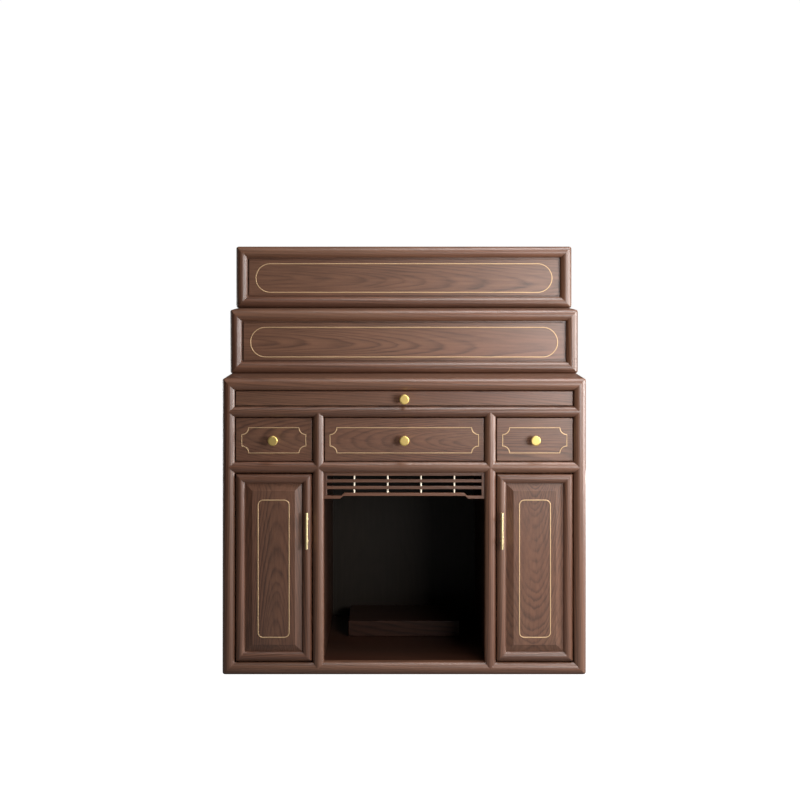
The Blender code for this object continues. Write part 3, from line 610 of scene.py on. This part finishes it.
front_ease = 0.0020
low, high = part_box("slide_board_front")
Joinery().add(board(low, high, front_ease), RIGHT, FRONT, (0.05, 0.035), (0.03, 0.05)).piece(
    "slide_front", "slide_board", "walnut", ["slide_board_front"], walnut)
shelf_walnut = wood("shelf_walnut", (0.150, 0.088, 0.064), (0.050, 0.026, 0.018), (0.92, 0.8, 0.8), along="x")
finish_node("slide_board_shelf", shelf_walnut)
knob("slide_board_knob", "slide_board")


# Drawers: three flat walnut fronts whose figure runs from side to side, eased all round and screwed to
# open boxes of plain wood. A narrow satin brass strip, slightly crowned, is let into a groove in each
# front and follows an outline whose corners are scooped inwards.

def strip_tree():
    tree, size = new_tree("inlaid strip", {
        "Path": "NodeSocketGeometry", "Width": "NodeSocketFloat", "Crown": "NodeSocketFloat",
        "Material": "NodeSocketMaterial"})
    path = Wire.node(tree, "GeometryNodeMeshToCurve", sockets={"Mesh": size["Path"]})
    level = Wire.node(tree, "GeometryNodeSetCurveNormal", {"mode": "Z_UP"}, {"Curve": path})
    circle = Wire.node(tree, "GeometryNodeCurvePrimitiveCircle", {"mode": "RADIUS"},
                       {"Resolution": 12, "Radius": 1.0})
    spot = Wire.node(tree, "GeometryNodeInputPosition")
    parts = Wire.node(tree, "ShaderNodeSeparateXYZ", sockets={0: spot})
    flat = Wire.node(tree, "ShaderNodeCombineXYZ",
                     sockets={"X": parts * size["Width"] * 0.5, "Y": parts.beside("Y") * size["Crown"]})
    section = Wire.node(tree, "GeometryNodeSetPosition", sockets={"Geometry": circle, "Position": flat})
    strip = Wire.node(tree, "GeometryNodeCurveToMesh", sockets={"Curve": level, "Profile Curve": section})
    end_tree(strip, size["Material"])
    return tree


def arc_points(centre, radius, start, sweep, steps):
    turns = [math.radians(start + sweep * k / steps) for k in range(steps + 1)]
    return [(centre[0] + radius * math.cos(turn), centre[1] + radius * math.sin(turn)) for turn in turns]


def inlay(name, body, outline):
    """Lays a strip along a closed outline of (x, z) points on the face that the CAD line has."""
    low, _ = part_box(name)
    path = bpy.data.meshes.new("path")
    count = len(outline)
    path.from_pydata([(x, z, 0) for x, z in outline], [(k, (k + 1) % count) for k in range(count)], [])
    mesh = grow(strip, {"Width": 0.0029, "Crown": 0.0007, "Material": gold_line}, path)
    mesh.transform(frame_axes((0, low.y + proud, 0), RIGHT, UP))
    Joinery().add(outward(mesh), RIGHT, FRONT).piece(
        name + "_strip", body, "gold_line", [name], gold_line, sharp=60)


def line_box(name):
    """The middle of a CAD line's own width on each side: left, right, bottom and top."""
    low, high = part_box(name)
    return low.x + line_half, high.x - line_half, low.z + line_half, high.z - line_half


line_half, proud, scoop = 0.0014, 0.0001, 0.0206
gold_line = brass_finish("gold_line", (0.64, 0.43, 0.235), 0.42, 0.4)
strip = strip_tree()
drawer_wood = wood("drawer_wood", (0.40, 0.27, 0.17), (0.24, 0.15, 0.09), (0.95, 0.9, 0.85), along="x")
for drawer, pith, tilt in (("left_drawer", (-0.012, 0.045), (0.04, -0.13)),
                           ("centre_drawer", (0.006, 0.030), (0.02, -0.14)),
                           ("right_drawer", (0.060, 0.045), (-0.04, 0.05))):
    low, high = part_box(drawer + "_front")
    Joinery().add(board(low, high, front_ease), RIGHT, FRONT, pith, tilt).piece(
        drawer + "_face", drawer, "walnut", [drawer + "_front"], walnut)
    left, right, bottom, top = line_box(drawer + "_line")
    scooped = []
    for x, z, start in ((left, bottom, 90), (right, bottom, 180), (right, top, 270), (left, top, 0)):
        scooped += arc_points((x, z), scoop, start, -90, 8)
    inlay(drawer + "_line", drawer, scooped)
    knob(drawer + "_knob", drawer)
    finish_node(drawer + "_box", drawer_wood)


# Doors: a mitred half-round walnut frame round a raised panel, whose bevels fall away to a tongue held
# loosely in the frame. Each door turns on wooden pivots at its outer end, and has an inlaid strip with
# round corners and a bar handle of polished brass, screwed on through its two legs.

def raised_panel(low, high, rings):
    """A panel built up of rectangles, each (how far in, y); the first is the back and the last the field."""
    points, faces = [], []
    for inset, y in rings:
        points += [(low.x + inset, y, low.z + inset), (high.x - inset, y, low.z + inset),
                   (high.x - inset, y, high.z - inset), (low.x + inset, y, high.z - inset)]
    for ring in range(len(rings) - 1):
        for side in range(4):
            near, following = ring * 4 + side, ring * 4 + (side + 1) % 4
            faces.append((near, following, following + 4, near + 4))
    last = (len(rings) - 1) * 4
    faces += [(0, 1, 2, 3), (last, last + 1, last + 2, last + 3)]
    mesh = bpy.data.meshes.new("panel")
    mesh.from_pydata(points, [], faces)
    return outward(mesh)


def mitred_frame(low, high, face, width, reach, ease, piths):
    """The four half-round members of a mitred frame that fills the given front view."""
    work = Joinery()
    tall, wide = high.z - low.z, high.x - low.x
    for start, along, inward, length, grain, (pith, tilt) in (
            ((low.x, face, high.z), DOWN, RIGHT, tall, UP, piths[0]),
            ((high.x, face, low.z), UP, LEFT, tall, UP, piths[1]),
            ((high.x, face, high.z), LEFT, DOWN, wide, RIGHT, piths[2]),
            ((low.x, face, low.z), RIGHT, UP, wide, RIGHT, piths[3])):
        mesh = bar(start, along, inward, length, width, reach, (1 + seam / width,) * 2, ease=ease)
        work.add(mesh, grain, FRONT, pith, tilt)
    return work


handle_brass = brass_finish("handle_brass", (0.98, 0.80, 0.43), 0.31)
leg_radius, leg_spread = 0.0034, 0.064


def handle(name, body):
    low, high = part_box(name)
    length, radius = high.z - low.z, (high.x - low.x) / 2
    x, y, middle = (low.x + high.x) / 2, low.y + radius, (low.z + high.z) / 2
    tip = [(0, 0), (radius - 0.0007, 0), (radius - 0.0002, 0.0002), (radius, 0.0007)]
    rod = tip + [(radius, length / 2)] + [(r, length - distance) for r, distance in reversed(tip)]
    work = Joinery().add(turned(rod, (x, y, low.z), UP, 40), UP, FRONT, (0, 0))
    stem = high.y - y
    leg = [(0, 0), (leg_radius + 0.0012, 0), (leg_radius + 0.0013, 0.0002), (leg_radius + 0.0013, 0.0009),
           (leg_radius + 0.0008, 0.0013), (leg_radius + 0.0002, 0.0016), (leg_radius, 0.0024),
           (leg_radius, stem), (0, stem)]
    for z in (middle - leg_spread / 2, middle + leg_spread / 2):
        work.add(turned(leg, (x, high.y, z), FRONT, 32), FRONT, RIGHT, (0, 0))
    work.piece(name + "_bar", body, "brass", [name], handle_brass, sharp=50)


door_gap, door_frame_width, door_ease, line_radius = 0.0035, 0.028, 0.0020, 0.0146
tongue, tongue_thickness, bevel = 0.0075, 0.006, 0.0262
for door, pith, tilt in (("left_door", (0.008, 0.040), (0.012, 0.12)),
                         ("right_door", (-0.004, 0.070), (0.02, -0.20))):
    low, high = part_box(door + "_frame")
    low.z, high.z = rail_width + door_gap, drawer_low.z - door_gap
    mitred_frame(low, high, face, door_frame_width, face - low.y, door_ease, (
        ((0.10, 0.03), (0.05, 0.0)), ((0.12, 0.05), (-0.06, 0.0)),
        ((0.10, 0.04), (0.06, 0.0)), ((0.14, 0.03), (-0.05, 0.0)))).piece(
        door + "_moulded_frame", door, "walnut", [door + "_frame"], walnut)
    low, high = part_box(door + "_panel")
    field, tongue_face = low.y, high.y - tongue_thickness
    rings = [(0.0, high.y), (0.0, tongue_face), (tongue, tongue_face), (tongue + 0.0001, tongue_face - 0.0006),
             (bevel, field + 0.0008), (bevel + 0.0006, field + 0.0005), (bevel + 0.0008, field + 0.0002),
             (bevel + 0.0012, field)]
    Joinery().add(raised_panel(low, high, rings), UP, FRONT, pith, tilt).piece(
        door + "_raised_panel", door, "walnut", [door + "_panel"], walnut, sharp=9)
    left, right, bottom, top = line_box(door + "_line")
    rounded = []
    for x, z, start in ((left + line_radius, bottom + line_radius, 180),
                        (right - line_radius, bottom + line_radius, 270),
                        (right - line_radius, top - line_radius, 0),
                        (left + line_radius, top - line_radius, 90)):
        rounded += arc_points((x, z), line_radius, start, 90, 10)
    inlay(door + "_line", door, rounded)
    handle(door + "_handle", door)


# Tiers: two stepped boxes that stand on the counter, one on the other. Their tops, sides and backs are
# veneered walnut boards, closed in front by a mitred half-round frame with a flat panel let in behind a
# narrow groove. The inlaid strip has round ends.

wall, back_thickness, fit = 0.018, 0.012, 0.0003
tier_frame_width, tongue_thickness, groove = 0.0355, 0.004, 0.0108
for tier in ("lower_tier", "upper_tier"):
    low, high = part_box(tier + "_box")
    under_top = high.z - wall - fit
    work = Joinery()
    work.add(case_board(Vector((low.x, low.y, high.z - wall)), high, top_radii), RIGHT, UP,
             (0.02, 0.05), (0.05, 0.07))
    for near, far, out, radii in ((low.x, low.x + wall, LEFT, left_radii),
                                  (high.x - wall, high.x, RIGHT, right_radii)):
        work.add(case_board(Vector((near, low.y, low.z)), Vector((far, high.y, under_top)), radii), BACK, out,
                 (0.03, 0.06), (0.04, 0.10))
    work.add(board(Vector((low.x + wall + fit, high.y - back_thickness, low.z)),
                   Vector((high.x - wall - fit, high.y, under_top)), arris), RIGHT, BACK,
             (0.03, 0.06), (0.02, 0.05))
    work.piece(tier + "_boards", "cabinet", "walnut", [tier + "_box"], walnut)

    low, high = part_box(tier + "_frame")
    mitred_frame(low, high, low.y + frame_reach, tier_frame_width, frame_reach, corner_ease, (
        ((0.13, 0.03), (0.02, 0.0)), ((0.15, 0.05), (-0.02, 0.0)),
        ((0.05, 0.03), (0.05, 0.0)), ((0.09, 0.04), (0.02, 0.0)))).piece(
        tier + "_moulded_frame", "cabinet", "walnut", [tier + "_frame"], walnut)

    low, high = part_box(tier + "_panel")
    field, tongue_face = low.y, high.y - tongue_thickness
    rings = [(0.0, high.y), (0.0, tongue_face), (groove, tongue_face), (groove, field + 0.0012),
             (groove + 0.0003, field + 0.0005), (groove + 0.0008, field + 0.0001), (groove + 0.0014, field)]
    Joinery().add(raised_panel(low, high, rings), RIGHT, FRONT, (0.012, 0.04), (0.015, 0.05)).piece(
        tier + "_flat_panel", "cabinet", "walnut", [tier + "_panel"], walnut, sharp=20)
    left, right, bottom, top = line_box(tier + "_line")
    radius = (top - bottom) / 2
    inlay(tier + "_line", "cabinet", arc_points((right - radius, bottom + radius), radius, -90, 180, 28)
          + arc_points((left + radius, bottom + radius), radius, 90, 180, 28))


# Room: a white floor that runs on into a white surround, and soft studio lights. The main one stands
# low on the right of the camera with one above it, two tall panels stand at the right side, one hangs
# overhead, and two low ones light the sides and the back.

floor_left, floor_right, floor_front, floor_back, floor_level = -30, 30, -12, 40, -0.0005
floor_mesh = bpy.data.meshes.new("floor")
floor_mesh.from_pydata([(floor_left, floor_front, floor_level), (floor_right, floor_front, floor_level),
                        (floor_right, floor_back, floor_level), (floor_left, floor_back, floor_level)],
                       [], [(0, 1, 2, 3)])
floor = bpy.data.objects.new("floor", floor_mesh)
bpy.context.scene.collection.objects.link(floor)
floor_paint = bare_material("floor_paint")
seen = Wire.node(floor_paint.node_tree, "ShaderNodeLightPath", out="Is Camera Ray")
white = Wire.node(floor_paint.node_tree, "ShaderNodeBsdfPrincipled", sockets={
    "Base Color": (0.2, 0.2, 0.2, 1), "Roughness": 0.8, "Emission Color": (1, 1, 1, 1),
    "Emission Strength": seen * 1.01})
Wire.node(floor_paint.node_tree, "ShaderNodeOutputMaterial", sockets={"Surface": white})
floor_mesh.materials.append(floor_paint)

world = bpy.data.worlds.new("studio")
world.use_nodes = True
world.node_tree.nodes.clear()
seen = Wire.node(world.node_tree, "ShaderNodeLightPath", out="Is Camera Ray")
surround = Wire.node(world.node_tree, "ShaderNodeBackground",
                     sockets={"Color": (1, 1, 1, 1), "Strength": seen * 0.99 + 0.02})
Wire.node(world.node_tree, "ShaderNodeOutputWorld", sockets={"Surface": surround})
bpy.context.scene.world = world


def softbox(name, spot, aim, size, power):
    data = bpy.data.lights.new(name, "AREA")
    data.shape, data.size, data.size_y, data.energy = "RECTANGLE", size[0], size[1], power
    lamp = bpy.data.objects.new(name, data)
    lamp.location = spot
    lamp.rotation_euler = (Vector(aim) - Vector(spot)).to_track_quat("-Z", "Y").to_euler()
    bpy.context.scene.collection.objects.link(lamp)


softbox("key_light", (1.10, -2.15, 0.90), (0, -0.28, 0.65), (0.8, 0.5), 29)
softbox("high_right_light", (1.3, -1.3, 1.7), (0.1, -0.25, 0.7), (0.6, 0.6), 16)
softbox("right_panel", (1.7, -0.7, 0.95), (0.2, -0.25, 0.65), (0.5, 1.2), 29)
softbox("far_right_light", (4.5, -0.50, 0.6), (0.2, -0.3, 0.6), (0.5, 1.6), 98)
softbox("overhead_light", (0.7, -0.8, 3.2), (0.1, -0.25, 0.7), (1.8, 0.6), 54)
softbox("left_back_light", (-3.4, 1.9, 0.45), (-0.5, 0.0, 0.6), (1.6, 0.6), 44)
softbox("back_light", (0.8, 4.2, 0.45), (0, 0.3, 0.6), (2.0, 0.6), 110)

camera_distance, camera_height = 4.38, 1.2167
camera_data = bpy.data.cameras.new("camera")
camera_data.sensor_width = 36.0
camera_data.lens = 66.3
camera_data.shift_y = -0.16875
camera = bpy.data.objects.new("camera", camera_data)
camera.location = (-0.0125, face - camera_distance, camera_height)
camera.rotation_euler = (math.radians(90), 0, 0)
bpy.context.scene.collection.objects.link(camera)
bpy.context.scene.camera = camera
bpy.context.scene.view_settings.view_transform = "Standard"
